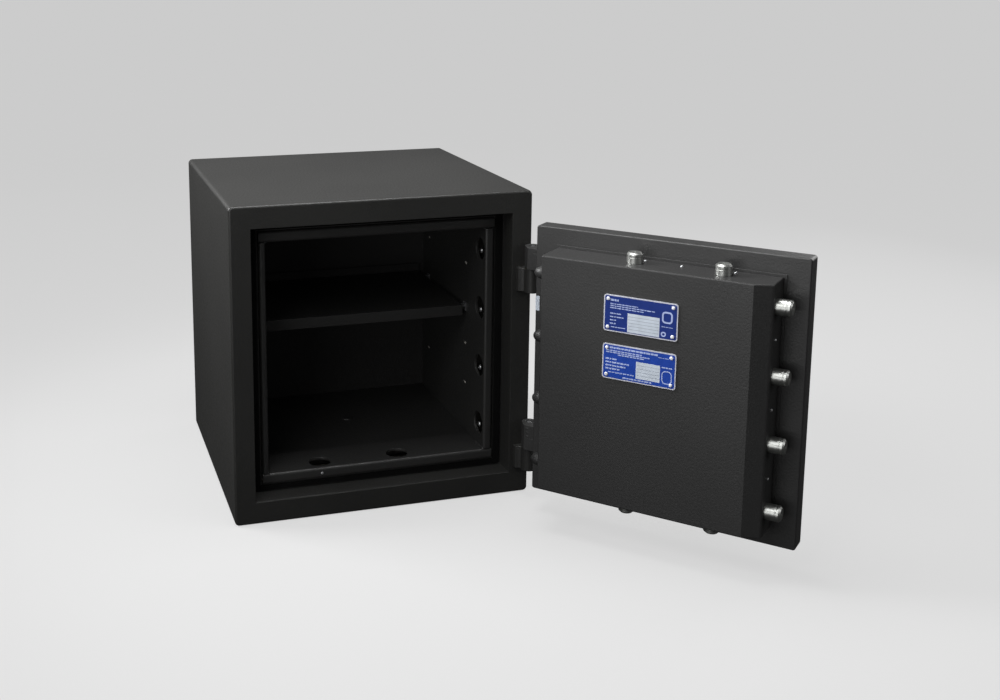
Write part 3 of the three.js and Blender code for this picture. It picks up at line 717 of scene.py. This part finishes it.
def sheet(low, high, back, thickness, corner, on_door=True):
    """A thin plate with rounded corners, from its x and z limits in millimetres."""
    mesh = slab(
        (low[0] * MM, depth(back), low[1] * MM),
        (high[0] * MM, depth(back + thickness), high[1] * MM),
    )
    if corner:
        upright = [
            edge
            for edge in mesh.edges
            if abs((edge.verts[0].co - edge.verts[1].co).normalized().y) > 0.9
        ]
        bmesh.ops.bevel(
            mesh,
            geom=upright,
            offset=corner * MM,
            segments=6,
            profile=0.5,
            affect="EDGES",
            material=-1,
        )
    if on_door:
        mesh.transform(SWUNG_OPEN)
    return mesh


def dashes(x_from, x_to, z, height, back):
    """A row of short bars, running towards the lock side."""
    bars = []
    x = x_from
    while x - SHORTEST_BAR > x_to:
        length = min(BAR_LENGTHS[len(bars) % len(BAR_LENGTHS)], x - x_to)
        bars.append(sheet((x - length, z), (x, z + height), back, PRINT_STEP, 0))
        x -= length + BAR_GAP
    return bars


def frame_line(low, high, width, back, corner):
    """A thin outline with rounded corners, as one ring."""
    mesh = sheet(low, high, back, PRINT_STEP, corner, on_door=False)
    faces = [face for face in mesh.faces if abs(face.normal.y) > 0.9]
    bmesh.ops.inset_individual(mesh, faces=faces, thickness=width * MM)
    inner = [face for face in faces if face.is_valid]
    bmesh.ops.bridge_loops(mesh, edges=[edge for face in inner for edge in face.edges])
    bmesh.ops.delete(mesh, geom=inner, context="FACES")
    bmesh.ops.recalc_face_normals(mesh, faces=mesh.faces)
    mesh.transform(SWUNG_OPEN)
    return mesh


def rating_plate(node, field, rows, panel, panel_rows, outlines):
    """A blue plate in a pale rim, with a white panel, plain bars and four rivets.

    Millimetres across the door, and above the plate's foot. A row gives where it starts
    and ends, its height above the foot and the bars' height. The panel gives its low and
    high corner. An outline gives the same, then its line's width and its corner radius.
    """
    low, high = shut_box(node)
    low, high = low / MM, high / MM
    back = (low.y * MM - FRONT) / MM
    face = (high.y * MM - FRONT) / MM - 2 * PRINT_STEP
    left, right, foot, head = low.x, high.x, low.z, high.z
    base = sheet((left, foot), (right, head), back, face - back, PLATE_CORNER)
    finish(base, f"{node}_rim", LABEL_SILVER, "door", [node])
    field_low = (left + PLATE_RIM, foot + PLATE_RIM)
    field_high = (right - PLATE_RIM, head - PLATE_RIM)
    inside = sheet(field_low, field_high, face, PRINT_STEP, FIELD_CORNER)
    finish(inside, f"{node}_field", field, "door")
    on_field = face + PRINT_STEP
    bars = []
    for x_from, x_to, above, height in rows:
        bars += dashes(x_from, x_to, foot + above, height, on_field)
    for x_low, z_low, x_high, z_high, width, corner in outlines:
        low, high = (x_low, foot + z_low), (x_high, foot + z_high)
        bars.append(frame_line(low, high, width, on_field, corner))
    finish(merged(bars), f"{node}_bars", LABEL_PALE, "door")
    x_low, z_low, x_high, z_high = panel
    white = sheet((x_low, foot + z_low), (x_high, foot + z_high), on_field, PRINT_STEP, 0)
    finish(white, f"{node}_panel", LABEL_WHITE, "door")
    spacing = (z_high - z_low) / (panel_rows + 1)
    rules = []
    for number in range(1, panel_rows + 1):
        z = foot + z_low + spacing * number
        low, high = (x_low + 1, z - RULE_HALF), (x_high - 1, z + RULE_HALF)
        rules.append(sheet(low, high, on_field + PRINT_STEP, RULE_STEP, 0))
    finish(merged(rules), f"{node}_rules", LABEL_GREY, "door")
    rivets = []
    for x in (left + 7.0, right - 6.5):
        for z in (foot + 6.2, head - 6.2):
            place = Vector((x * MM, depth(face), z * MM))
            rivet = rivet_head(RIVET_RADIUS, RIVET_RISE)
            rivets.append(aim(rivet, place, ALONG_Y, on_door=True))
    finish(merged(rivets), f"{node}_rivets", RIVET_WHITE, "door")


rating_plate(
    "label_plate_upper",
    LABEL_NAVY,
    [
        (57.8, 45.5, 45.2, 2.8),
        (57.8, 16.5, 40.4, 1.3),
        (57.8, -9.0, 37.4, 1.3),
        (57.8, 8.0, 34.4, 1.3),
        (57.8, 41.0, 26.2, 1.5),
        (57.8, 37.5, 21.2, 1.5),
        (57.8, 47.0, 16.4, 1.5),
        (57.8, 49.0, 11.4, 1.5),
        (56.0, 34.5, 6.4, 1.1),
        (-19.0, -35.0, 18.4, 0.9),
    ],
    (-15.8, 2.6, 31.5, 30.2),
    5,
    [
        (-34.5, 24.0, -19.0, 41.0, 2.4, 5.0),
        (-25.5, 4.4, -18.2, 11.7, 1.8, 3.4),
    ],
)
rating_plate(
    "label_plate_lower",
    LABEL_BLUE,
    [
        (56.8, -15.0, 45.4, 2.6),
        (62.0, 8.0, 41.6, 1.5),
        (62.0, -3.0, 38.9, 1.5),
        (44.0, 3.5, 36.2, 1.5),
        (-15.7, -31.0, 43.4, 0.8),
        (62.5, 46.0, 28.8, 2.1),
        (62.5, 27.0, 23.8, 2.1),
        (62.5, 32.0, 18.9, 2.1),
        (62.5, 40.5, 14.2, 2.1),
        (58.0, 18.5, 9.6, 1.3),
        (36.0, -7.0, 3.6, 1.9),
        (-21.5, -36.5, 29.4, 1.8),
    ],
    (-19.0, 7.0, 16.5, 32.0),
    4,
    [(-36.5, 6.4, -21.5, 25.8, 1.4, 6.0)],
)

# A small blank sticker on the door's rim, beside the upper hinge.
STICKER_LOW = (197, 328)
STICKER_HIGH = (203.4, 351)
sticker = sheet(STICKER_LOW, STICKER_HIGH, (PLATE_FACE - FRONT) / MM, 0.2, 0.6)
finish(sticker, "rim_sticker", LABEL_WHITE, "door")

# ---- Sheet flange, welds and inner screws ---------------------------------------------


def flange_sheet():
    """The folded foot of the plug's cover, a thin sheet against the door plate."""
    foot = PLATE_FACE
    wide, narrow, thickness = 4.0 * MM, 2.0 * MM, 1.2 * MM  # narrow on the hinge side
    outer_low = Vector((PLUG_LOW.x - wide, foot, PLUG_LOW.z - wide))
    outer_high = Vector((PLUG_HIGH.x + narrow, foot + thickness, PLUG_HIGH.z + wide))
    mesh = slab(outer_low, outer_high)
    round_edges(mesh, 0.4, 2)
    mesh.transform(SWUNG_OPEN)
    return mesh


finish(flange_sheet(), "plug_flange", DOOR_PAINT, "door")


# Length, width and height of one weld ripple, in millimetres.
HINGE_RIPPLE = (6.4, 3.8, 1.0)
CORNER_RIPPLE = (4.6, 4.4, 2.6)
HINGE_RIPPLE_SLANT = Vector((0.87, 0, 0.5))
HINGE_WELD_DEPTH = -0.55


def bead(place, along, outward, size):
    """One ripple of a weld, a low oval bump lying along a direction."""
    mesh = bmesh.new()
    bmesh.ops.create_uvsphere(mesh, u_segments=14, v_segments=9, radius=0.5 * MM)
    bmesh.ops.scale(mesh, vec=size, verts=mesh.verts)
    across = outward.cross(along).normalized()
    along = across.cross(outward)
    turn = Matrix((along, across, outward)).transposed().to_4x4()
    mesh.transform(Matrix.Translation(place) @ turn)
    return mesh


def hinge_weld(name, x, heights):
    """Weld ripples on the face of a door leaf that looks into the case."""
    ripples = []
    for z in heights:
        place = door_point(x, HINGE_WELD_DEPTH, z)
        ripples.append(bead(place, HINGE_RIPPLE_SLANT, ALONG_Y, HINGE_RIPPLE))
    mesh = merged(ripples)
    mesh.transform(SWUNG_OPEN)
    finish(mesh, name, DOOR_PAINT, "door")


hinge_weld("hinge_lower_weld", 228.2, (108.5, 115.0, 121.5))


STRAP_FROM = 206
STRAP_TO = 225
STRAP_ROOT = -1.5
STRAP_FACE = -0.06


def strap_cover(name, low, high):
    """A strap laid on a door leaf, proud of it by less than the gap to the shut case."""
    mesh = slab(
        door_point(STRAP_FROM, STRAP_ROOT, low), door_point(STRAP_TO, STRAP_FACE, high)
    )
    round_edges(mesh, 0.2, 2)
    mesh.transform(SWUNG_OPEN)
    finish(mesh, name, DOOR_PAINT, "door")


strap_cover("hinge_upper_strap", 386, 408)
strap_cover("hinge_lower_strap", 89, 105)


RIPPLES = 12
RIPPLE_START = 37
RIPPLE_STEP = 3.1


def corner_weld(x, z, side, up):
    """A run of ripples along an inner corner of the frame."""
    ripples = []
    outward = Vector((side, 0, up)).normalized()
    for number in range(RIPPLES):
        place = Vector((x * MM, depth(RIPPLE_START + number * RIPPLE_STEP), z * MM))
        ripples.append(bead(place, ALONG_Y, outward, CORNER_RIPPLE))
    return ripples


SILL_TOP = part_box("frame_sill")[1].z / MM
HEAD_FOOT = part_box("frame_head")[0].z / MM
JAMB_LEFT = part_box("frame_jamb_left")[1].x / MM
JAMB_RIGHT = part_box("frame_jamb_right")[0].x / MM
welds = []
for x, side in ((JAMB_LEFT, 1), (JAMB_RIGHT, -1)):
    welds += corner_weld(x, SILL_TOP, side, 1)
    welds += corner_weld(x, HEAD_FOOT, side, -1)
finish(merged(welds), "frame_corner_welds", INNER_PAINT, BODY_OF["frame_sill"])

# A screw beside each bolt hole of the hinge-side jamb, and one in the sill's riser.
JAMB_SCREW_INSET = 33.5
JAMB_SCREW_DEPTH = 57
jamb_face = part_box("door_frame")[1].x - JAMB_SCREW_INSET * MM
frame_screws = []
for z in (100, 198, 296, 394):
    place = Vector((jamb_face, depth(JAMB_SCREW_DEPTH), z * MM))
    frame_screws.append(aim(screw_head(4.2, 2.2), place, -ALONG_X))
riser = Vector((-95 * MM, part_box("frame_sill")[0].y, 56 * MM))
frame_screws.append(aim(screw_head(2.4, 1.2), riser, -ALONG_Y))
finish(merged(frame_screws), "frame_screws", PLAIN_STEEL, BODY_OF["frame_sill"])
